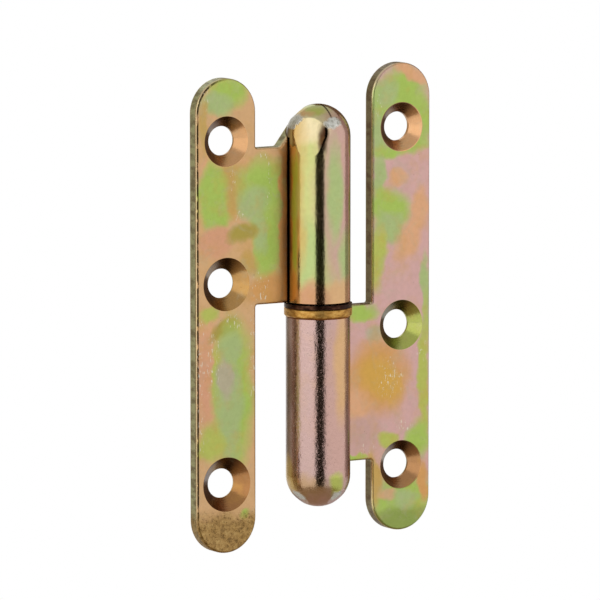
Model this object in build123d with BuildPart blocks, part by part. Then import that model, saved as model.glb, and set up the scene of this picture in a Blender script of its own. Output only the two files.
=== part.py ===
from build123d import *
import math
import os

# Lift-off hinge for a door: two leaves of folded sheet steel, a pin, a bearing ring and a washer.
# Millimetres. The origin is on the pin's axis, midway up the hinge. Z runs up the pin,
# X towards the frame leaf, and -Y to the side that the screws are driven from.
# Both leaves lie flat open in one plane, with the hinge put together.

# Leaves
leaf_height = 110.0
strip_width = 15.9
strip_edge = 15.85  # pin axis to the nearer long edge of the strip
sheet = 3.0
leaf_front = 1.5  # the leaf's front face lies this far behind the pin axis
leaf_stagger = 0.75  # the door strip sits this much low, the frame strip as much high
rollover = 0.6  # round left by the punch along the front edges
inner_corner = 0.6

# Pin and its fits
pin_diameter = 9.0
running_clearance = 0.05  # pin to door knuckle, bearing ring and washer, on the radius
pin_chamfer = 0.8
pin_foot_gap = 1.0  # from the pin's lower end to where the frame dome starts to close
bore_run = 1.2  # how far each bore, and the pin's tip, runs into the dome

# Bearing ring, and the washer that lies on it
frame_face = 1.75  # origin down to the frame knuckle's open face, which carries the ring
ring_height = 2.1
ring_overhang = 0.4  # beyond the knuckle's outside
ring_chamfer = 0.3
washer_height = 0.9
lift_gap = 0.2  # from the washer up to the door knuckle, whose dome rests on the pin's tip

# Knuckles and tabs, each measured along the pin from the knuckle's open face
door_knuckle = 46.0
frame_knuckle = 44.7
door_tab = 36.3
frame_tab = 35.2
frame_tab_rise = 1.5  # the frame tab stands this far past its knuckle's open face, beside the ring
ring_notch_gap = 0.3  # from the ring to the tab that stands beside it
bend_radius = 1.0  # inside radius of the reverse bend between leaf and roll
curl_end_round = 1.0  # outer corner of the curl's end, which leaves a groove along the leaf
seam_gap = 0.2  # between the curl's end and the leaf's front face
mouth_chamfer = 0.25  # outside edge of the knuckle's open face
shoulder_slope = 52.0  # degrees, edge that climbs from the tab to the dome
shoulder_run = 2.6  # how far that edge runs in over the dome
shoulder_round = 1.0

# Domes: a half ball as wide as the roll, then flats left by the closing tool. Each flat is
# given by the compass angle from -Y towards +X and the height angle that it faces, its distance
# from the dome's centre, and the round of its edge. Leaves are pressed knuckle up, left of the pin.
shoulder_flat = (-129.6, 47.7, 7.15, 0.9)
door_front_flat = (-50.0, 12.0, 6.41, 1.5)
frame_left_flat = (91.6, 45.0, 7.0, 0.25)
frame_right_flat = (-28.4, 45.0, 7.0, 0.25)

# Slit left open in the door knuckle's dome
slit_width = 0.42
slit_length = 6.6
slit_depth = 1.9
slit_height_angle = 57.0  # degrees above the dome's equator, at the slit's middle

# Screw holes, counted from the strip's end beside the knuckle
hole_steps = (0.0, 33.0, 79.5)
door_end_distance = 14.5
frame_end_distance = 15.5
hole_diameter = 6.8
door_countersinks = (11.6, 12.3, 12.6)
frame_countersinks = (11.5, 11.7, 11.2)
countersink_angle = 90.0

pick_band = 0.01  # half-width of the bands in which edges are picked out

# Sizes that follow from those above
pin_radius = pin_diameter / 2
knuckle_radius = pin_radius + sheet
leaf_back = leaf_front + sheet
strip_middle = strip_edge + strip_width / 2
ring_radius = knuckle_radius + ring_overhang
running_bore = pin_radius + running_clearance
ring_top = ring_height - frame_face
door_face = ring_top + washer_height + lift_gap
back_plane = Plane.XZ.offset(-leaf_back)
front_plane = Plane.XZ.offset(-leaf_front)


def roll_section(face):
    """Plan of the rolled knuckle, drawn at its open face.

    The leaf bends back round bend_radius, runs tangent into the roll, goes right round
    the pin and ends square, with seam_gap left to the leaf's front face.
    """
    reach = knuckle_radius + bend_radius
    bend_y = leaf_back + bend_radius
    bend_x = -math.sqrt(reach**2 - bend_y**2)
    bend_turn = math.degrees(math.acos(bend_y / reach))
    meet = 90 + bend_turn
    seam = 180 - math.degrees(math.asin((leaf_front - seam_gap) / knuckle_radius))
    round_trip = 360 - (seam - meet)
    with BuildSketch(Plane.XY.offset(face)) as section:
        with BuildLine():
            front = Line((-knuckle_radius, leaf_front), (bend_x, leaf_front))
            CenterArc((bend_x, bend_y), bend_radius + sheet, 270, bend_turn)
            bore = CenterArc((0, 0), pin_radius, meet, -round_trip)
            curl_end = PolarLine(bore @ 1, sheet, seam)
            outside = CenterArc((0, 0), knuckle_radius, seam, round_trip)
            outer_bend = CenterArc((bend_x, bend_y), bend_radius, 270 + bend_turn, -bend_turn)
            back = Line(outer_bend @ 1, (-knuckle_radius, leaf_back))
            Line(back @ 1, front @ 0)
        make_face()
        curl_corner = section.vertices().sort_by_distance((curl_end @ 1) + Vector(0, 0, face))[0]
        fillet(curl_corner, curl_end_round)
    return section.sketch


def flat_direction(compass, height):
    """Unit vector that a pressed flat faces."""
    turn, rise = math.radians(compass), math.radians(height)
    return Vector(math.sin(turn) * math.cos(rise), -math.cos(turn) * math.cos(rise), math.sin(rise))


def knuckle(face, dome_centre, flats):
    """Solid roll with its rounded end, and the flats that the closing tool pressed."""
    with BuildPart() as roll:
        add(roll_section(face))
        extrude(amount=dome_centre - face)
        mouth = roll.edges().filter_by(GeomType.CIRCLE).filter_by_position(
            Axis.Z, face - pick_band, face + pick_band
        )
        chamfer(mouth.group_by(SortBy.RADIUS)[-1], mouth_chamfer)
        with BuildSketch(Plane.XZ):
            with BuildLine():
                quarter = CenterArc((0, dome_centre), knuckle_radius, 0, 90)
                Polyline(quarter @ 1, (0, dome_centre), quarter @ 0)
            make_face()
        revolve(axis=Axis.Z)
        for compass, height, distance, edge_round in flats:
            faced = flat_direction(compass, height)
            flat_middle = Vector(0, 0, dome_centre) + faced * distance
            split(bisect_by=Plane(flat_middle, z_dir=faced), keep=Keep.BOTTOM)
            fillet(roll.faces().sort_by_distance(flat_middle)[0].edges(), edge_round)
    return roll.part


def flat_leaf(face, tab, tab_rise, dome_centre):
    """Punched outline of strip, tab and shoulder, as far as the roll, with rounded front edges."""
    tab_foot = face - tab_rise
    tab_top = face + tab
    foot = -knuckle_radius - (dome_centre - tab_top) / math.tan(math.radians(shoulder_slope))
    with BuildPart() as leaf:
        with BuildSketch(back_plane):
            with Locations((-strip_middle, -leaf_stagger)):
                SlotOverall(leaf_height, strip_width, rotation=90)
            with BuildLine():
                Polyline(
                    (-strip_middle, tab_foot),
                    (-strip_middle, tab_top),
                    (foot, tab_top),
                    (-knuckle_radius, dome_centre),
                    (-knuckle_radius, tab_foot),
                    close=True,
                )
            make_face()
        extrude(amount=sheet)
        depth_edges = leaf.edges().filter_by(Axis.Y)
        inner_corners = depth_edges.filter_by_position(
            Axis.X, -strip_edge - pick_band, -strip_edge + pick_band
        )
        tab_corners = inner_corners.filter_by_position(
            Axis.Z, tab_foot - pick_band, tab_top + pick_band
        )
        fillet(tab_corners, inner_corner)
        shoulder_foot = leaf.edges().filter_by(Axis.Y).filter_by_position(
            Axis.X, foot - pick_band, foot + pick_band
        )
        fillet(shoulder_foot, shoulder_round)
        front_face = leaf.faces().filter_by(Axis.Y).sort_by(Axis.Y)[0]
        roll_side = front_face.edges().sort_by(Axis.X)[-1]
        fillet(front_face.edges() - ShapeList([roll_side]), rollover)
        if tab_rise > 0:  # room for the ring beside a tab that stands past the knuckle
            with BuildSketch(back_plane):
                with Locations((-ring_radius - ring_notch_gap, face)):
                    Rectangle(ring_radius, tab_rise, align=(Align.MIN, Align.MAX))
            extrude(amount=sheet, mode=Mode.SUBTRACT)
    return leaf.part


def rolled_leaf(face, knuckle_length, tab, tab_rise, bore_radius, end_distance, countersinks, flats):
    """One leaf as it comes from the press: door leaf's place, knuckle up, left of the pin."""
    dome_centre = face + knuckle_length - knuckle_radius
    shoulder_top = dome_centre + shoulder_run * math.tan(math.radians(shoulder_slope))
    first_hole = leaf_height / 2 - leaf_stagger - end_distance
    with BuildPart() as leaf:
        add(knuckle(face, dome_centre, flats))
        with BuildSketch(back_plane):
            with BuildLine():
                Polyline(
                    (-knuckle_radius, dome_centre),
                    (-knuckle_radius + shoulder_run, shoulder_top),
                    (-knuckle_radius + shoulder_run, dome_centre),
                    close=True,
                )
            make_face()
        extrude(amount=sheet)
        add(flat_leaf(face, tab, tab_rise, dome_centre))
        with BuildSketch(Plane.XY.offset(face)):
            Circle(bore_radius)
        extrude(amount=dome_centre + bore_run - face, mode=Mode.SUBTRACT)
        with Locations(front_plane):
            for step, countersink in zip(hole_steps, countersinks):
                with Locations((-strip_middle, first_hole - step)):
                    CounterSinkHole(
                        hole_diameter / 2, countersink / 2, counter_sink_angle=countersink_angle
                    )
    return leaf.part


# Door leaf: the one that lifts off, with a slit where the press left its dome open.
with BuildPart() as door_leaf:
    door_pressing = rolled_leaf(
        face=door_face,
        knuckle_length=door_knuckle,
        tab=door_tab,
        tab_rise=0,
        bore_radius=running_bore,
        end_distance=door_end_distance,
        countersinks=door_countersinks,
        flats=(door_front_flat, shoulder_flat),
    )
    add(door_pressing)
    slit_tilt = math.radians(slit_height_angle)
    slit_out = Vector(0, -math.cos(slit_tilt), math.sin(slit_tilt))
    door_dome_centre = door_face + door_knuckle - knuckle_radius
    slit_middle = Vector(0, 0, door_dome_centre) + slit_out * knuckle_radius
    with BuildSketch(Plane(slit_middle, x_dir=(1, 0, 0), z_dir=slit_out)):
        with BuildLine():
            Polyline(
                (-slit_width / 2, slit_length / 2),
                (slit_width / 2, slit_length / 2),
                (0, -slit_length / 2),
                close=True,
            )
        make_face()
    extrude(amount=-slit_depth, mode=Mode.SUBTRACT)
door_leaf.part.label = "door_leaf"

# Frame leaf: a like pressing turned end for end, gripping the pin.
with BuildPart() as frame_leaf:
    frame_pressing = rolled_leaf(
        face=frame_face,
        knuckle_length=frame_knuckle,
        tab=frame_tab,
        tab_rise=frame_tab_rise,
        bore_radius=pin_radius,
        end_distance=frame_end_distance,
        countersinks=frame_countersinks,
        flats=(shoulder_flat, frame_left_flat, frame_right_flat),
    )
    add(frame_pressing.rotate(Axis.Y, 180))
frame_leaf.part.label = "frame_leaf"

# Pin: fixed in the frame knuckle, its tip carries the door knuckle's closed end.
pin_foot = -frame_face - frame_knuckle + knuckle_radius + pin_foot_gap
pin_tip = door_dome_centre + bore_run - running_clearance
with BuildPart() as hinge_pin:
    with BuildSketch(Plane.XY.offset(pin_foot)):
        Circle(pin_radius)
    extrude(amount=pin_tip - pin_foot)
    pin_ends = hinge_pin.edges().filter_by(GeomType.CIRCLE)
    chamfer(pin_ends, pin_chamfer)
hinge_pin.part.label = "hinge_pin"

# Bearing ring: lies on the frame knuckle, loose round the pin.
with BuildPart() as bearing_ring:
    with BuildSketch(Plane.XY.offset(-frame_face)):
        Circle(ring_radius)
        Circle(running_bore, mode=Mode.SUBTRACT)
    extrude(amount=ring_height)
    outer_rims = bearing_ring.edges().filter_by(GeomType.CIRCLE).group_by(SortBy.RADIUS)[-1]
    chamfer(outer_rims, ring_chamfer)
bearing_ring.part.label = "bearing_ring"

# Washer: dark and thin, lies on the bearing ring under the door knuckle.
with BuildPart() as spacer_washer:
    with BuildSketch(Plane.XY.offset(ring_top)):
        Circle(ring_radius)
        Circle(running_bore, mode=Mode.SUBTRACT)
    extrude(amount=washer_height)
spacer_washer.part.label = "spacer_washer"

os.makedirs("parts", exist_ok=True)
export_step(door_leaf.part, "parts/door_leaf.step")
export_step(frame_leaf.part, "parts/frame_leaf.step")
export_step(hinge_pin.part, "parts/hinge_pin.step")
export_step(bearing_ring.part, "parts/bearing_ring.step")
export_step(spacer_washer.part, "parts/spacer_washer.step")
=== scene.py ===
import math
from collections import namedtuple

import bpy
import numpy as np
from mathutils import Matrix, Vector

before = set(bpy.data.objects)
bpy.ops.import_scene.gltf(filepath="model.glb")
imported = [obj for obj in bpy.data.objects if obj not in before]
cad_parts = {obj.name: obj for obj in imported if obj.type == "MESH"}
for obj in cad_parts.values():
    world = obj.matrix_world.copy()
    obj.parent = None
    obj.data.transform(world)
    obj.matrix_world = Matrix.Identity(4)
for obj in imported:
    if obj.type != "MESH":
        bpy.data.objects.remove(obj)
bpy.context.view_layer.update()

# Lift-off hinge: two leaves of zinc-plated steel under a yellow chromate film, a steel pin,
# a brass bearing ring and a dark washer. Lengths are millimetres here and become metres
# where a mesh, a material or the camera takes them.
mm = 0.001

# Sizes that the finishes follow, as the leaves were pressed
leaf_front = 1.5
leaf_back = 4.5
rollover = 0.6
knuckle_radius = 7.5
strip_middle = 23.8
door_dome_centre = 39.95
frame_dome_centre = -38.95
slit_half_width = 0.26

# Camera, in the photograph's frame
view_azimuth = -31.635
view_elevation = 7.06
view_distance = 1525.0
pixels_per_mm = 4.317
frame_pixels = 600
origin_u = 318.05
origin_v = 307.64
sensor = 36.0
nearest_seen = 100.0
farthest_seen = 20000.0

# Studio: how far off the boards stand, and the low ones, which the lower dome shows
studio_radius = 1800.0
low_radius = 290.0
board_columns = 25
board_rows = 17
# Floor: it takes the shadow as far as shadow_reach from the hinge and is white from white_reach
floor_radius = 1200.0
floor_height = -300.0
floor_corners = 96
shadow_reach = 350.0
white_reach = 800.0

# Which of a point's three coordinates count towards its distance from an axis or a centre
round_pin = (1.0, 1.0, 0.0)
round_screw = (1.0, 0.0, 1.0)
round_centre = (1.0, 1.0, 1.0)

# A patch of the film on a leaf: its middle, half-lengths and tilt
Blot = namedtuple("Blot", "colour u v half_width half_height tilt", defaults=(0.0,))
# A patch round a knuckle: its middle by compass angle from -Y towards +X, and by height
Band = namedtuple("Band", "colour compass height half_width half_height")
# A countersunk hole: its middle and the radius of its rim
Screw = namedtuple("Screw", "colour u v rim")
# A place on a knuckle that is rubbed down to bare zinc: an ellipsoid, tilted about Y
Rub = namedtuple("Rub", "centre reach tilt")
# A scuffed place on a leaf's front: its middle and half-lengths
Scuff = namedtuple("Scuff", "u v half_width half_height")
# One leaf's looks: side is the colour of its sheared sides, foot the height at which a burnt
# end starts, polish its knuckle's roughness and unevenness how deep the knuckle's skin is
Look = namedtuple("Look", "base blots knuckle bands screws rubs scuffs side foot polish unevenness")


def srgb(red, green, blue):
    """A colour given as 0 to 255, turned into the linear values that the shaders take."""
    share = np.array([red, green, blue]) / 255
    linear = np.where(share <= 0.04045, share / 12.92, ((share + 0.055) / 1.055) ** 2.4)
    return (*linear.tolist(), 1.0)


class Signal:
    """One value that varies over a surface. Sums, differences and products add Math nodes."""

    def __init__(self, finish, socket):
        self.finish = finish
        self.socket = socket

    def math(self, operation, *operands):
        return self.finish.put("ShaderNodeMath", {"operation": operation}, dict(enumerate(operands)))

    def __add__(self, other):
        return self.math("ADD", self, other)

    def __sub__(self, other):
        return self.math("SUBTRACT", self, other)

    def __rsub__(self, other):
        return self.math("SUBTRACT", other, self)

    def __mul__(self, other):
        return self.math("MULTIPLY", self, other)

    __radd__ = __add__
    __rmul__ = __mul__

    def step(self, start, end):
        """0 at start and 1 at end, with an even S-shaped rise between them."""
        sockets = {"Value": self, "From Min": start, "From Max": end}
        return self.finish.put("ShaderNodeMapRange", {"interpolation_type": "SMOOTHSTEP"}, sockets)

    def between(self, low, high, edge):
        """1 from low to high, and 0 beyond a soft edge outside each."""
        return self.step(low - edge, low) * self.step(high + edge, high)

    def most(self, other):
        """The higher of the two."""
        return self.math("MAXIMUM", self, other)

    def wave(self):
        """The sine of a value in radians."""
        return self.math("SINE", self)


def strongest(masks):
    """Several masks as one, which takes the highest of them at each point."""
    result = masks[0]
    for mask in masks[1:]:
        result = result.most(mask)
    return result


class Finish:
    """A material. put() adds one node and hands back one of its outputs, if it has any.

    A node's settings are made first, then its sockets get their values or links.
    """

    def __init__(self, name):
        self.material = bpy.data.materials.new(name)
        self.material.use_nodes = True
        self.tree = self.material.node_tree
        self.tree.nodes.clear()

    def put(self, kind, settings=None, sockets=None, output=0):
        node = self.tree.nodes.new(kind)
        for key, value in (settings or {}).items():
            if key == "stops":
                self.fill_ramp(node.color_ramp, value)
            else:
                setattr(node, key, value)
        for key, value in (sockets or {}).items():
            if isinstance(value, Signal):
                self.tree.links.new(value.socket, node.inputs[key])
            else:
                node.inputs[key].default_value = value
        return Signal(self, node.outputs[output]) if len(node.outputs) else None

    def fill_ramp(self, ramp, stops):
        while len(ramp.elements) < len(stops):
            ramp.elements.new(1.0)
        for element, (place, colour) in zip(ramp.elements, stops):
            element.position = place
            element.color = colour

    def places(self):
        """Where the surface point lies, in millimetres from the hinge's origin."""
        point = self.put("ShaderNodeTexCoord", output="Object")
        return self.put("ShaderNodeVectorMath", {"operation": "SCALE"}, {0: point, "Scale": 1 / mm})

    def axes(self, point):
        split = {"Vector": point}
        return [self.put("ShaderNodeSeparateXYZ", None, split, axis) for axis in "XYZ"]

    def noise(self, point, grain, detail=2.0, roughness=0.5, output="Fac"):
        """Noise with grains of about that size in millimetres, 0 to 1 with its middle at 0.5."""
        sockets = {"Vector": point, "Scale": 1 / grain, "Detail": detail, "Roughness": roughness}
        return self.put("ShaderNodeTexNoise", None, sockets, output)

    def swayed(self, point, grain, reach):
        """The point pushed about by noise, so that a pattern's edges wander."""
        drift = self.noise(point, grain, detail=3.0, output="Color")
        middled = {0: drift, 1: (0.5, 0.5, 0.5)}
        push = self.put("ShaderNodeVectorMath", {"operation": "SUBTRACT"}, middled)
        push = self.put("ShaderNodeVectorMath", {"operation": "SCALE"}, {0: push, "Scale": reach})
        return self.put("ShaderNodeVectorMath", {"operation": "ADD"}, {0: point, 1: push})

    def stretched(self, point, shares):
        """The point with each axis scaled, for noise that runs in streaks."""
        return self.put("ShaderNodeVectorMath", {"operation": "MULTIPLY"}, {0: point, 1: shares})

    def mix(self, share, first, second, blend="MIX"):
        """The second colour laid over the first by that share."""
        settings = {"data_type": "RGBA", "blend_type": blend}
        return self.put("ShaderNodeMix", settings, {0: share, 6: first, 7: second}, 2)

    def shade(self, signal, stops):
        """The colour that a ramp has at that value."""
        return self.put("ShaderNodeValToRGB", {"stops": stops}, {"Fac": signal}, "Color")

    def blend(self, share, first, second):
        """A value that goes from the first to the second by that share."""
        return self.put("ShaderNodeMix", {"data_type": "FLOAT"}, {0: share, 2: first, 3: second})

    def spot(self, point, centre, reach, tilt=0.0, softness=0.75):
        """1 inside an ellipsoid and 0 outside: d^2 stepped across 1 by softness on either side.

        d is the distance from the centre, as a share of the half-lengths in reach.
        """
        sockets = {
            "Vector": point,
            "Location": centre,
            "Rotation": (0.0, math.radians(-tilt), 0.0),
            "Scale": reach,
        }
        inside = self.put("ShaderNodeMapping", {"vector_type": "TEXTURE"}, sockets)
        dot = {"operation": "DOT_PRODUCT"}
        square = self.put("ShaderNodeVectorMath", dot, {0: inside, 1: inside}, "Value")
        return square.step(1.0 + softness, 1.0 - softness)

    def radius(self, point, counted, centre=(0.0, 0.0, 0.0)):
        """Distance from the centre, or from an axis through it whose coordinate isn't counted."""
        offset = self.put("ShaderNodeVectorMath", {"operation": "SUBTRACT"}, {0: point, 1: centre})
        flat = self.stretched(offset, counted)
        return self.put("ShaderNodeVectorMath", {"operation": "LENGTH"}, {0: flat}, "Value")

    def bump(self, height):
        """Normal of a surface that is raised by that height in millimetres."""
        return self.put("ShaderNodeBump", None, {"Strength": 1.0, "Distance": mm, "Height": height})

    def metal(self, colour, roughness, height):
        """Ends the material as a metal with that colour, roughness and relief."""
        sockets = {"Base Color": colour, "Metallic": 1.0, "Roughness": roughness}
        sockets["Normal"] = self.bump(height)
        return self.close(self.put("ShaderNodeBsdfPrincipled", None, sockets))

    def close(self, shader):
        """Ends the material with that shader."""
        self.put("ShaderNodeOutputMaterial", None, {"Surface": shader})
        return self.material


# Colours that the chromate film takes with its thickness, and at the end one painted shade
green = srgb(170, 194, 96)
yellow_green = srgb(184, 190, 98)
grey_green = srgb(172, 188, 126)
grey_lilac = srgb(184, 174, 146)
cream = srgb(222, 208, 168)
khaki = srgb(186, 154, 122)
olive = srgb(174, 156, 78)
ochre = srgb(198, 164, 98)
gold = srgb(212, 166, 84)
orange = srgb(214, 160, 100)
tan = srgb(214, 172, 126)
peach = srgb(222, 170, 130)
pink = srgb(216, 161, 128)
rose = srgb(202, 163, 152)
terracotta = srgb(192, 146, 112)
mauve = srgb(212, 170, 164)
moss = srgb(146, 162, 86)
# painted shade for the knuckles' right edges
painted_right_edge_shade = srgb(150, 117, 104)

# Colours of dirt, wear and bare metal, and the dark of painted shade and painted reflection
brown = srgb(96, 64, 44)
# the dark of painted shade in the countersinks, the slit and the door knuckle's groove, and of a
# painted reflection on the door dome
painted_shade_dark = srgb(74, 48, 32)
# the dark of a painted reflection along the door leaf's rollover
painted_reflection_dark = srgb(44, 34, 20)
pore_brown = srgb(96, 76, 46)
bright_zinc = srgb(232, 226, 204)
white = (1.0, 1.0, 1.0, 1.0)

# Ramps over noise: place along the noise, colour
mottle_stops = [(0.3, (0.93, 0.93, 0.92, 1.0)), (0.6, white)]
burnt_stops = [(0.34, srgb(118, 92, 48)), (0.50, srgb(164, 130, 74)), (0.66, srgb(188, 158, 100))]
zinc_stops = [(0.30, srgb(172, 170, 158)), (0.50, srgb(208, 208, 200)), (0.70, srgb(232, 232, 226))]

# How strongly each effect covers the film, 0 to 1
veil_strength = 0.26
countersink_painted_shade = 0.86
side_streaks = 0.6
painted_edge_highlight = 0.7
edge_reflection_strength = 0.9
burnt_strength = 0.85
slit_painted_shade = 0.85
pore_strength = 0.6
scuff_strength = 0.8

# How rough each part of the skin is
leaf_roughness = 0.36
countersink_roughness = 0.24
edge_roughness = 0.20
side_roughness = 0.42
wear_roughness = 0.46

# Heights of the relief in millimetres, and the tool marks' rate in radians a millimetre
grain_height = 0.010
burnt_pits = 0.09
bare_pits = 0.10
tool_marks = 0.002
tool_mark_rate = 14.0

# How far before and behind a leaf's front a patch reaches, and a scuffed place
patch_depth = 60.0
scuff_depth = 2.0
# Over this height the burnt end fades into the clean film
burnt_fade = 5.0
# Between these two distances behind the pin, the knuckle's patches give way to the back's clouds
knuckle_clouds_start = 3.4
knuckle_clouds_end = 6.2


class LeafFilm(Finish):
    """The yellow chromate film on one leaf's zinc plate.

    It holds one mask for each zone of the leaf and for each kind of wear. A method that takes
    a colour gives it back with one more effect laid over it.
    """

    def __init__(self, name, look):
        super().__init__(name)
        self.look = look
        self.point = self.places()
        self.x, self.y, self.z = self.axes(self.point)
        self.fine = self.noise(self.point, 0.8, detail=3.0, roughness=0.6) - 0.5
        self.mark_zones()
        self.burnt = self.burnt_zone()
        self.scuffs = self.scuffed_zone()
        self.bare = self.bare_zone()

    def mark_zones(self):
        """Masks of the rolled knuckle, back, countersinks, sheared sides, front and its edge."""
        from_pin = self.radius(self.point, round_pin)
        self.rolled = from_pin.step(knuckle_radius + 0.25, knuckle_radius + 0.1)
        self.behind = self.y.step(leaf_back - 0.2, leaf_back - 0.05) * (1.0 - self.rolled)
        self.hollows = [self.countersink(screw) for screw in self.look.screws]
        self.sunk = strongest(self.hollows)
        plate = (1.0 - self.rolled) * (1.0 - self.sunk) * (1.0 - self.behind)
        past_edge = self.y.step(leaf_front + rollover - 0.05, leaf_front + rollover + 0.2)
        self.sheared = past_edge * plate
        self.face = plate * (1.0 - self.sheared)
        self.edge = self.y.step(leaf_front + 0.06, leaf_front + 0.16) * self.face

    def countersink(self, screw):
        """One screw's hole with its countersink, seen from the front."""
        from_screw = self.radius(self.point, round_screw, (screw.u, 0.0, screw.v))
        return from_screw.step(screw.rim + 0.1, screw.rim - 0.05) * (1.0 - self.behind)

    def burnt_zone(self):
        """The leaf's lower end, below a wandering line."""
        wandering = self.z + 4.0 * (self.noise(self.point, 3.0, detail=3.0) - 0.5)
        burnt = wandering.step(self.look.foot, self.look.foot - burnt_fade)
        return burnt * (1.0 - self.behind) * (1.0 - self.sunk)

    def scuffed_zone(self):
        """Short upright scratches on the front, inside the leaf's scuffed places."""
        scuffed = strongest([self.scuffed_place(scuff) for scuff in self.look.scuffs])
        upright = self.stretched(self.point, (1.6, 1.0, 0.5))
        scratches = self.noise(upright, 0.7, detail=3.0, roughness=0.7)
        return (scratches + 0.08 * scuffed).step(0.66, 0.72) * scuffed * self.face

    def scuffed_place(self, scuff):
        centre = (scuff.u, leaf_front, scuff.v)
        reach = (scuff.half_width, scuff_depth, scuff.half_height)
        return self.spot(self.point, centre, reach, softness=0.9)

    def bare_zone(self):
        """Places on the knuckle, with ragged edges, that are rubbed down to zinc."""
        ragged = self.swayed(self.point, grain=1.4, reach=1.4)
        rubbed = [self.spot(ragged, *rub, softness=0.5) for rub in self.look.rubs]
        return strongest(rubbed) * self.rolled

    def plated(self):
        """The film's own colour over the leaf, round the knuckle and behind."""
        clouded = self.clouds()
        colour = self.mix(self.behind, self.blotted(), clouded)
        rearwards = self.y.step(knuckle_clouds_start, knuckle_clouds_end)
        knuckle = self.mix(rearwards, self.banded(), clouded)
        return self.mix(self.rolled, colour, knuckle)

    def blotted(self):
        """The film over the flat leaf: each blot in turn pulls it to its own colour."""
        swayed = self.swayed(self.swayed(self.point, grain=9.0, reach=5.5), grain=2.2, reach=1.5)
        colour = self.look.base
        for blot in self.look.blots:
            centre = (blot.u, leaf_front, blot.v)
            reach = (blot.half_width, patch_depth, blot.half_height)
            inside = self.spot(swayed, centre, reach, blot.tilt)
            colour = self.mix(inside, colour, blot.colour)
        return colour

    def banded(self):
        """The film round the knuckle, laid down in the same way but softer."""
        swayed = self.swayed(self.stretched(self.point, (1.0, 1.0, 0.5)), grain=4.0, reach=3.0)
        swayed = self.stretched(swayed, (1.0, 1.0, 2.0))
        colour = self.look.knuckle
        for band in self.look.bands:
            turn = math.radians(band.compass)
            aside, ahead = math.sin(turn), -math.cos(turn)
            centre = (knuckle_radius * aside, knuckle_radius * ahead, band.height)
            reach = (band.half_width, band.half_width, band.half_height)
            inside = self.spot(swayed, centre, reach, softness=0.8)
            colour = self.mix(inside, colour, band.colour)
        return colour

    def clouds(self):
        """The film on the back, which the photograph hides: plain clouds of the same colours."""
        wandering = self.swayed(self.point, grain=12.0, reach=8.0)
        base = self.look.base
        stops = [(0.30, green), (0.42, grey_green), (0.50, base), (0.60, gold), (0.70, rose)]
        return self.shade(self.noise(wandering, 16.0, detail=3.0), stops)

    def countersunk(self, colour):
        """Each countersink's own colour, with painted shade at its upper left."""
        for screw, hollow in zip(self.look.screws, self.hollows):
            rightwards = (self.x - screw.u) * 0.9
            downwards = (screw.v - self.z) * 0.45
            upper_left = (rightwards + downwards + 1.6 * self.fine).step(3.2, -1.0)
            colour = self.mix(hollow, colour, screw.colour)
            # painted shade: each countersink darkened towards its upper left
            colour = self.mix(hollow * upper_left * countersink_painted_shade, colour, painted_shade_dark)
        return colour

    def drifted(self, colour):
        """Golden and lilac veils that come and go everywhere, and a fine mottle."""
        golden = self.noise(self.point, 5.0, detail=3.0, roughness=0.6).step(0.46, 0.72)
        wandering = self.swayed(self.point, grain=9.0, reach=30.0)
        lilac = self.noise(wandering, 6.0, detail=3.0, roughness=0.6).step(0.48, 0.74)
        strength = (1.0 - 0.6 * self.rolled) * veil_strength
        colour = self.mix(golden * strength, colour, gold)
        colour = self.mix(lilac * strength, colour, grey_lilac)
        mottle = self.noise(self.point, 1.0, detail=4.0, roughness=0.65)
        return self.mix(1.0, colour, self.shade(mottle, mottle_stops), "MULTIPLY")

    def sheared_sides(self, colour):
        """An even film on the sheared sides, brown in streaks, and a painted highlight along the
        rolled edge.
        """
        across = self.stretched(self.point, (1.0, 0.35, 1.0))
        streaks = self.noise(across, 1.4, detail=3.0, roughness=0.6).step(0.60, 0.34)
        colour = self.mix(self.sheared, colour, self.look.side)
        colour = self.mix(self.sheared * streaks * side_streaks, colour, brown)
        # painted highlight: a cream line along the rolled edge
        rim = self.edge * self.y.step(leaf_front + 0.2, leaf_front + 0.3)
        return self.mix(rim * painted_edge_highlight, colour, cream)

    def painted_dark_edge(self, colour):
        """A broken dark line along the door leaf's outer edge, where it starts to roll over: a
        painted reflection.
        """
        upright = self.stretched(self.point, (1.0, 1.0, 0.45))
        broken = self.noise(upright, 0.9, detail=3.0, roughness=0.7).step(0.37, 0.49)
        outer = self.x.step(-strip_middle + 1.0, -strip_middle - 5.0)
        line = self.y.between(leaf_front + 0.014, leaf_front + 0.24, edge=0.012)
        line = line * self.face * outer * broken
        # painted reflection: a dark line on the rollover
        return self.mix(line * edge_reflection_strength, colour, painted_reflection_dark)

    def burnt_end(self, colour):
        """A mottled brown over the end that the bath burnt."""
        tone = self.shade(self.noise(self.point, 0.9, detail=4.0, roughness=0.7), burnt_stops)
        return self.mix(self.burnt * burnt_strength, colour, tone)

    def painted_slit_shade(self, colour):
        """Painted shade inside the slit of the door knuckle's dome. Nothing else reaches into that
        place.
        """
        across = self.x.between(-slit_half_width, slit_half_width, edge=0.05)
        high = self.z.step(door_dome_centre + 3.0, door_dome_centre + 3.6)
        from_centre = self.radius(self.point, round_centre, (0.0, 0.0, door_dome_centre))
        below_skin = from_centre.step(knuckle_radius + 0.05, knuckle_radius - 0.05)
        slit = across * high * below_skin * self.y.step(0.0, -0.5)
        # painted shade: the slit darkened
        return self.mix(slit * slit_painted_shade, colour, painted_shade_dark)

    def pored(self, colour):
        """Small brown pores here and there."""
        pores = self.noise(self.point, 0.45, detail=1.0).step(0.78, 0.84)
        return self.mix(pores * pore_strength, colour, pore_brown)

    def rubbed(self, colour):
        """Scuffs down to bright zinc on the front, and grey zinc on the pressed corners."""
        colour = self.mix(self.scuffs * scuff_strength, colour, bright_zinc)
        zinc = self.shade(self.noise(self.point, 0.7, detail=3.0, roughness=0.7), zinc_stops)
        return self.mix(self.bare, colour, zinc)

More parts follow.
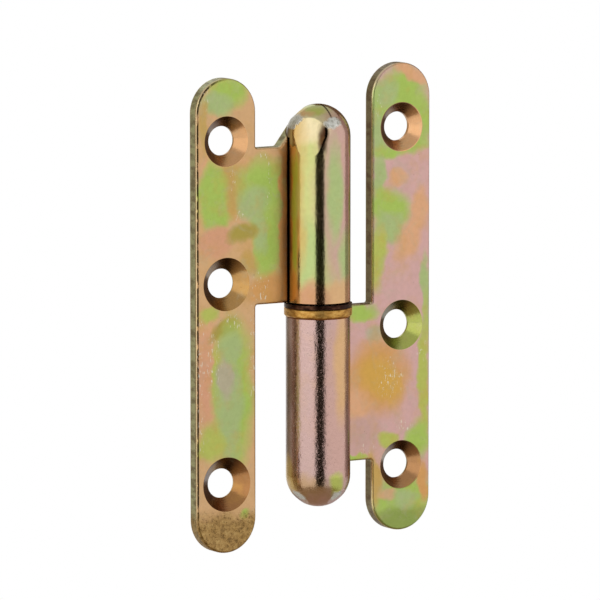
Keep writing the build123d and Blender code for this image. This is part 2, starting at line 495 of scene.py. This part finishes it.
    def dullness(self):
        """The roughness of each zone. Specks dull the knuckle, and its lower dome is blunt."""
        roughness = leaf_roughness + 0.16 * (self.noise(self.point, 2.5, detail=3.0) - 0.5)
        specks = self.noise(self.point, 0.5, detail=2.0, roughness=0.6).step(0.58, 0.68)
        blunt = self.z.step(frame_dome_centre - 1.0, frame_dome_centre - 5.0)
        speckled = 4.0 * self.look.unevenness * specks
        skin = self.look.polish + 0.12 * self.fine + speckled + 0.24 * blunt
        roughness = self.blend(self.rolled, roughness, skin)
        roughness = self.blend(self.sunk, roughness, countersink_roughness)
        roughness = self.blend(self.edge, roughness, edge_roughness)
        roughness = self.blend(self.sheared, roughness, side_roughness)
        worn = (self.burnt + self.scuffs).most(self.bare)
        return self.blend(worn, roughness, wear_roughness)

    def relief(self):
        """Height in millimetres: fine grain, the knuckle's peel, pits, and turned countersinks."""
        grain = self.noise(self.point, 0.55)
        pits = self.noise(self.point, 0.8, detail=3.0, roughness=0.6).step(0.34, 0.46)
        upright = self.stretched(self.point, (1.0, 1.0, 0.7))
        peel = self.noise(upright, 1.2, detail=4.0, roughness=0.7)
        uneven = self.look.unevenness * (0.4 * grain + peel)
        height = self.blend(self.rolled, grain_height * grain, uneven)
        height = height + (self.burnt + 0.25 * self.sheared) * burnt_pits * pits
        height = height + self.bare * bare_pits * pits
        return height + self.sunk * tool_marks * (self.y * tool_mark_rate).wave()


def chromated_steel(name, look):
    """Zinc plate under a yellow chromate film, with the effects laid over each other in turn."""
    film = LeafFilm(name, look)
    colour = film.countersunk(film.plated())
    colour = film.drifted(colour)
    colour = film.sheared_sides(colour)
    colour = film.painted_dark_edge(colour)
    colour = film.burnt_end(colour)
    colour = film.painted_slit_shade(colour)
    colour = film.pored(colour)
    colour = film.rubbed(colour)
    return film.metal(colour, film.dullness(), film.relief())


# Door leaf: tan and pink, with green lakes
door_blots = [
    Blot(green, -23.2, 51.2, 5.0, 3.4, 8.0),
    Blot(grey_green, -26.9, 48.2, 4.2, 2.3),
    Blot(ochre, -29.8, 43.0, 1.6, 6.0),
    Blot(peach, -24.9, 34.6, 6.5, 1.8),
    Blot(ochre, -22.4, 29.0, 3.6, 6.5),
    Blot(green, -27.3, 27.4, 3.5, 7.6),
    Blot(green, -25.9, 22.4, 3.2, 2.6),
    Blot(green, -14.4, 28.8, 6.2, 6.2),
    Blot(green, -13.3, 16.6, 4.3, 9.2),
    Blot(grey_green, -17.0, 25.6, 4.0, 4.2),
    Blot(grey_green, -14.8, 18.5, 2.2, 4.5),
    Blot(pink, -27.2, 16.3, 4.8, 4.0),
    Blot(tan, -19.8, 14.0, 3.2, 3.6),
    Blot(olive, -19.9, 18.1, 4.3, 2.2, 15.0),
    Blot(ochre, -18.2, 11.8, 2.6, 2.2),
    Blot(orange, -12.6, 4.8, 5.4, 4.0),
    Blot(orange, -8.7, 20.0, 0.9, 20.0),
    Blot(yellow_green, -28.6, 0.3, 2.8, 1.6),
    Blot(peach, -28.0, -4.6, 3.4, 2.8),
    Blot(olive, -24.3, -3.6, 4.1, 2.0, 15.0),
    Blot(pink, -29.3, -14.8, 2.4, 11.0),
    Blot(green, -21.9, -19.4, 5.2, 16.5),
    Blot(yellow_green, -26.2, -15.6, 1.2, 8.0),
    Blot(grey_green, -23.2, -20.5, 3.4, 14.5),
    Blot(grey_lilac, -24.1, -14.6, 1.9, 5.5),
    Blot(grey_green, -22.4, -8.0, 2.4, 3.0),
    Blot(yellow_green, -28.0, -30.0, 3.4, 4.4),
    Blot(tan, -29.6, -38.0, 2.2, 4.0),
    Blot(tan, -16.9, -40.0, 1.6, 6.0),
    Blot(green, -18.6, -46.7, 1.6, 1.3),
]
door_bands = [
    Band(rose, 22.0, 28.0, 6.6, 24.0),
    Band(grey_green, 0.0, 27.5, 2.2, 11.0),
    Band(grey_green, 34.0, 12.0, 3.0, 7.0),
    Band(tan, 12.0, 3.0, 6.5, 4.0),
    Band(cream, -62.0, 42.0, 6.0, 3.4),
    Band(yellow_green, -31.0, 47.0, 4.8, 1.9),
    Band(tan, -66.0, 46.0, 3.6, 1.6),
    Band(grey_green, -56.0, 13.0, 4.2, 8.0),
    Band(terracotta, -62.0, 2.2, 6.0, 4.4),
    Band(ochre, -94.0, 24.0, 4.4, 30.0),
    # painted shade in the groove where the tab meets the knuckle
    Band(painted_shade_dark, -110.0, 20.0, 2.6, 30.0),
    # painted reflection of the dark slot on the door dome
    Band(painted_shade_dark, -25.5, 40.6, 1.5, 3.2),
    # painted shade along the knuckle's right edge
    Band(painted_right_edge_shade, 62.0, 22.0, 2.6, 26.0),
]
door_screws = [
    Screw(srgb(212, 164, 118), -strip_middle, 39.75, 5.8),
    Screw(srgb(190, 148, 92), -strip_middle, 6.75, 6.15),
    Screw(srgb(170, 122, 78), -strip_middle, -39.75, 6.3),
]
door_rubs = [
    Rub((0.1, -6.5, 43.5), (2.2, 2.2, 1.3), 8.0),
    Rub((-7.3, 0.6, 43.0), (0.7, 5.0, 3.0), -42.0),
]
door_scuffs = [
    Scuff(-13.6, 36.0, 1.6, 1.2),
    Scuff(-12.6, 27.5, 0.5, 9.0),
    Scuff(-22.1, 30.5, 0.9, 3.4),
    Scuff(-20.3, 22.2, 2.0, 1.6),
    Scuff(-14.6, 5.2, 2.4, 4.6),
    Scuff(-22.0, -1.6, 3.2, 2.4),
    Scuff(-30.6, -16.0, 1.1, 18.0),
    Scuff(-16.8, -10.0, 1.0, 12.0),
    Scuff(-27.5, -12.0, 2.2, 8.0),
    Scuff(-29.4, 50.0, 1.2, 4.0),
]

# Frame leaf: rose and mauve, green at its ends and edges, with one gold field
frame_blots = [
    Blot(grey_green, 17.2, 42.0, 2.4, 9.0),
    Blot(green, 23.4, 47.8, 6.8, 7.0),
    Blot(grey_green, 20.4, 48.6, 3.2, 3.6),
    Blot(peach, 26.0, 53.6, 5.2, 1.5, -28.0),
    Blot(green, 29.0, 42.0, 2.6, 6.0),
    Blot(green, 23.4, 35.8, 8.0, 2.0),
    Blot(grey_green, 17.4, 28.5, 1.9, 6.0),
    Blot(peach, 23.0, 29.8, 2.6, 1.8),
    Blot(green, 20.8, 21.8, 5.4, 5.2, 10.0),
    Blot(grey_green, 20.0, 17.0, 4.0, 4.0),
    Blot(peach, 29.0, 21.6, 2.6, 5.0),
    Blot(peach, 26.3, 14.6, 3.2, 6.2, -30.0),
    Blot(yellow_green, 17.2, 10.4, 2.4, 7.4),
    Blot(grey_green, 30.8, 1.5, 1.4, 9.0),
    Blot(green, 13.0, -1.9, 4.4, 1.8),
    Blot(grey_lilac, 17.0, -7.4, 2.4, 2.2),
    Blot(orange, 17.2, -17.4, 8.4, 8.6, -40.0),
    Blot(gold, 18.4, -18.2, 6.6, 4.4, -40.0),
    Blot(peach, 11.2, -24.0, 3.6, 4.4),
    Blot(yellow_green, 30.6, -18.0, 1.6, 17.0),
    Blot(green, 28.6, -32.8, 3.4, 4.6),
    Blot(rose, 13.0, -31.0, 6.0, 4.4),
    Blot(yellow_green, 20.6, -32.4, 2.2, 2.0),
    Blot(green, 10.6, -36.6, 5.2, 0.9),
    Blot(green, 23.8, -47.4, 9.0, 7.6),
    Blot(moss, 24.2, -51.8, 8.0, 3.6),
    Blot(ochre, 16.4, -41.0, 1.5, 6.0),
    Blot(tan, 19.6, -45.4, 2.6, 1.3),
    Blot(grey_green, 24.6, -46.8, 3.6, 2.4),
    Blot(orange, 30.2, -43.0, 1.5, 4.0),
]
frame_bands = [
    # painted shade along the lower knuckle's left edge
    Band(brown, -122.0, -20.0, 4.4, 30.0),
    Band(rose, 12.0, -22.0, 5.6, 24.0),
    Band(tan, 18.0, -13.0, 2.6, 13.0),
    # painted shade along the knuckle's right edge
    Band(painted_right_edge_shade, 50.0, -20.0, 3.0, 26.0),
    Band(khaki, -60.0, -42.4, 6.0, 3.6),
    Band(yellow_green, 4.0, -40.4, 1.8, 2.6),
    Band(ochre, -96.0, -40.0, 3.0, 5.0),
    Band(rose, -30.0, -46.4, 6.0, 3.0),
]
frame_screws = [
    Screw(srgb(228, 176, 130), strip_middle, 40.75, 5.75),
    Screw(srgb(180, 188, 100), strip_middle, -5.75, 5.85),
    Screw(srgb(180, 134, 92), strip_middle, -38.75, 5.6),
]
frame_rubs = [
    Rub((-5.5, -0.5, -43.6), (2.1, 2.1, 1.5), 25.0),
    Rub((1.8, -5.3, -43.6), (2.1, 2.1, 1.5), -25.0),
]
frame_scuffs = [
    Scuff(29.4, -12.0, 1.6, 3.0),
    Scuff(24.5, -29.5, 2.6, 1.4),
    Scuff(20.5, -18.0, 4.0, 5.0),
    Scuff(14.0, -34.0, 3.0, 1.6),
    Scuff(17.5, 46.0, 1.2, 3.0),
]

# The frame leaf's end isn't burnt, so its foot lies below the leaf
door_look = Look(
    base=tan, blots=door_blots, knuckle=srgb(190, 193, 128), bands=door_bands,
    screws=door_screws, rubs=door_rubs, scuffs=door_scuffs, side=srgb(192, 194, 152),
    foot=-44.4, polish=0.15, unevenness=0.026,
)
frame_look = Look(
    base=mauve, blots=frame_blots, knuckle=srgb(196, 166, 162), bands=frame_bands,
    screws=frame_screws, rubs=frame_rubs, scuffs=frame_scuffs, side=srgb(142, 130, 100),
    foot=-70.0, polish=0.17, unevenness=0.055,
)


def turned_metal(name, tones, roughness, rings):
    """A metal turned on a lathe: fine rings along the pin's axis, and a clouded tone.

    rings is their rate in radians a millimetre.
    """
    finish = Finish(name)
    point = finish.places()
    z = finish.axes(point)[2]
    flattened = finish.stretched(point, (1.0, 1.0, 2.0))
    clouds = finish.noise(flattened, 1.6, detail=3.0, roughness=0.6)
    dark, plain, bright = tones
    tone = finish.shade(clouds, [(0.32, dark), (0.5, plain), (0.68, bright)])
    grooves = (z * rings + 3.0 * finish.noise(point, 3.0)).wave()
    height = 0.003 * grooves + 0.006 * finish.noise(point, 0.5)
    varied = roughness + 0.14 * (finish.noise(point, 1.2, detail=3.0) - 0.5)
    return finish.metal(tone, varied, height)


def dress(node, material):
    """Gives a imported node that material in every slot."""
    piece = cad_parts[node]
    if not piece.data.materials:
        piece.data.materials.append(material)
    for slot in piece.material_slots:
        slot.material = material


steel_tones = (srgb(146, 141, 130), srgb(166, 162, 152), srgb(184, 180, 171))
brass_tones = (srgb(150, 106, 48), srgb(196, 148, 76), srgb(222, 180, 104))
dark_tones = (srgb(30, 18, 14), srgb(56, 34, 26), srgb(92, 62, 46))
dress("door_leaf", chromated_steel("chromated_door_leaf", door_look))
dress("frame_leaf", chromated_steel("chromated_frame_leaf", frame_look))
dress("hinge_pin", turned_metal("pin_steel", steel_tones, roughness=0.30, rings=12.0))
dress("bearing_ring", turned_metal("ring_brass", brass_tones, roughness=0.42, rings=16.0))
dress("spacer_washer", turned_metal("washer_steel", dark_tones, roughness=0.34, rings=14.0))


def lit(name, colour, strength):
    """A surface that shows one even brightness and takes no light."""
    finish = Finish(name)
    glow = {"Color": colour, "Strength": strength}
    return finish.close(finish.put("ShaderNodeEmission", None, glow))


def board(name, azimuths, elevations, colour, strength=1.0, distance=studio_radius):
    """A studio board: part of a sphere round the hinge, between two azimuths and two elevations.

    At azimuth a and elevation e it stands at distance times (sin a cos e, -cos a cos e, sin e).
    """
    columns = np.radians(np.linspace(*azimuths, board_columns))
    rows = np.radians(np.linspace(*elevations, board_rows))
    turn, rise = np.meshgrid(columns, rows)
    places = distance * mm * np.stack(
        [np.sin(turn) * np.cos(rise), -np.cos(turn) * np.cos(rise), np.sin(rise)], axis=-1
    )
    index = np.arange(rows.size * columns.size).reshape(rows.size, columns.size)
    corners = [index[:-1, :-1], index[:-1, 1:], index[1:, 1:], index[1:, :-1]]
    faces = np.stack(corners, axis=-1).reshape(-1, 4)
    mesh = bpy.data.meshes.new(name)
    mesh.from_pydata(places.reshape(-1, 3).tolist(), [], faces.tolist())
    mesh.materials.append(lit(name, colour, strength))
    panel = bpy.data.objects.new(name, mesh)
    panel.visible_camera = False
    panel.visible_shadow = False
    panel.visible_diffuse = False
    bpy.context.collection.objects.link(panel)


# Boards by azimuth: a dark slot round the camera, a softbox on its left, and flags beyond that,
# on the right and behind
slot = (-40.0, -7.5)
left = (-112.0, -40.0)
far_left = (-137.0, -112.0)
rear_left = (-180.0, -137.0)
right = (81.0, 104.0)
rear_right = (104.0, 152.0)
all_round = (-180.0, 180.0)
# Boards by elevation
level = (-34.0, 33.0)
tall = (-40.0, 44.0)
below = (-44.0, -10.0)
overhead = (36.0, 90.0)
underneath = (-90.0, -44.0)
black_cloth = srgb(34, 30, 20)
brown_card = srgb(146, 120, 98)
warm_white = (1.0, 0.98, 0.94, 1.0)
pale_grey = (0.66, 0.65, 0.63, 1.0)
board("dark_slot", slot, level, black_cloth)
board("low_slot", slot, below, black_cloth, distance=low_radius)
board("left_softbox", left, level, warm_white, strength=1.3)
board("low_softbox", left, below, warm_white, strength=1.1, distance=low_radius)
board("left_flag", far_left, tall, brown_card)
board("low_flag", far_left, below, brown_card, distance=low_radius)
board("rear_left_flag", rear_left, tall, srgb(184, 178, 160))
board("right_flag", right, tall, srgb(176, 162, 156))
board("rear_right_flag", rear_right, tall, srgb(116, 92, 74))
board("ceiling", all_round, overhead, pale_grey)
board("tray", all_round, underneath, srgb(165, 148, 126), distance=low_radius)


def make_floor():
    """A pale round floor below the hinge, that fades to white away from the hinge's shadow.

    Its rim has one corner at each angle t: floor_radius times (cos t, sin t).
    """
    finish = Finish("pale_floor")
    from_origin = finish.radius(finish.places(), round_centre)
    pale = finish.put("ShaderNodeBsdfDiffuse", None, {"Color": (0.78, 0.78, 0.78, 1.0)})
    glow = finish.put("ShaderNodeEmission", None, {"Color": white, "Strength": 1.0})
    camera_ray = finish.put("ShaderNodeLightPath", output="Is Camera Ray")
    share = camera_ray * from_origin.step(shadow_reach, white_reach)
    blend = finish.put("ShaderNodeMixShader", None, {"Fac": share, 1: pale, 2: glow})
    turns = np.linspace(0, 2 * np.pi, floor_corners, endpoint=False)
    heights = np.full(floor_corners, floor_height)
    rim = np.stack([floor_radius * np.cos(turns), floor_radius * np.sin(turns), heights], axis=-1)
    mesh = bpy.data.meshes.new("floor")
    mesh.from_pydata((rim * mm).tolist(), [], [list(range(floor_corners))])
    mesh.materials.append(finish.close(blend))
    disc = bpy.data.objects.new("floor", mesh)
    bpy.context.collection.objects.link(disc)


make_floor()

world = bpy.data.worlds.new("studio")
bpy.context.scene.world = world
world.use_nodes = True
world.node_tree.nodes["Background"].inputs["Color"].default_value = white
world.node_tree.nodes["Background"].inputs["Strength"].default_value = 1.0


def place_camera():
    """The photograph's view: far off, aimed so that the origin falls at its place in the photo."""
    turn, rise = math.radians(view_azimuth), math.radians(view_elevation)
    outwards = Vector((math.sin(turn), -math.cos(turn), 0.0))
    towards = outwards * math.cos(rise) + Vector((0.0, 0.0, math.sin(rise)))
    right_hand = Vector((math.cos(turn), math.sin(turn), 0.0))
    up = towards.cross(right_hand)
    aside = (frame_pixels / 2 - origin_u) / pixels_per_mm
    above = (origin_v - frame_pixels / 2) / pixels_per_mm
    lens = bpy.data.cameras.new("camera")
    lens.sensor_width = sensor
    lens.lens = sensor * pixels_per_mm * view_distance / frame_pixels
    lens.clip_start = nearest_seen * mm
    lens.clip_end = farthest_seen * mm
    camera = bpy.data.objects.new("camera", lens)
    bpy.context.collection.objects.link(camera)
    stand = (towards * view_distance + right_hand * aside + up * above) * mm
    facing = (-towards).to_track_quat("-Z", "Y").to_matrix().to_4x4()
    camera.matrix_world = Matrix.Translation(stand) @ facing
    bpy.context.scene.camera = camera


place_camera()
bpy.context.scene.view_settings.view_transform = "Standard"
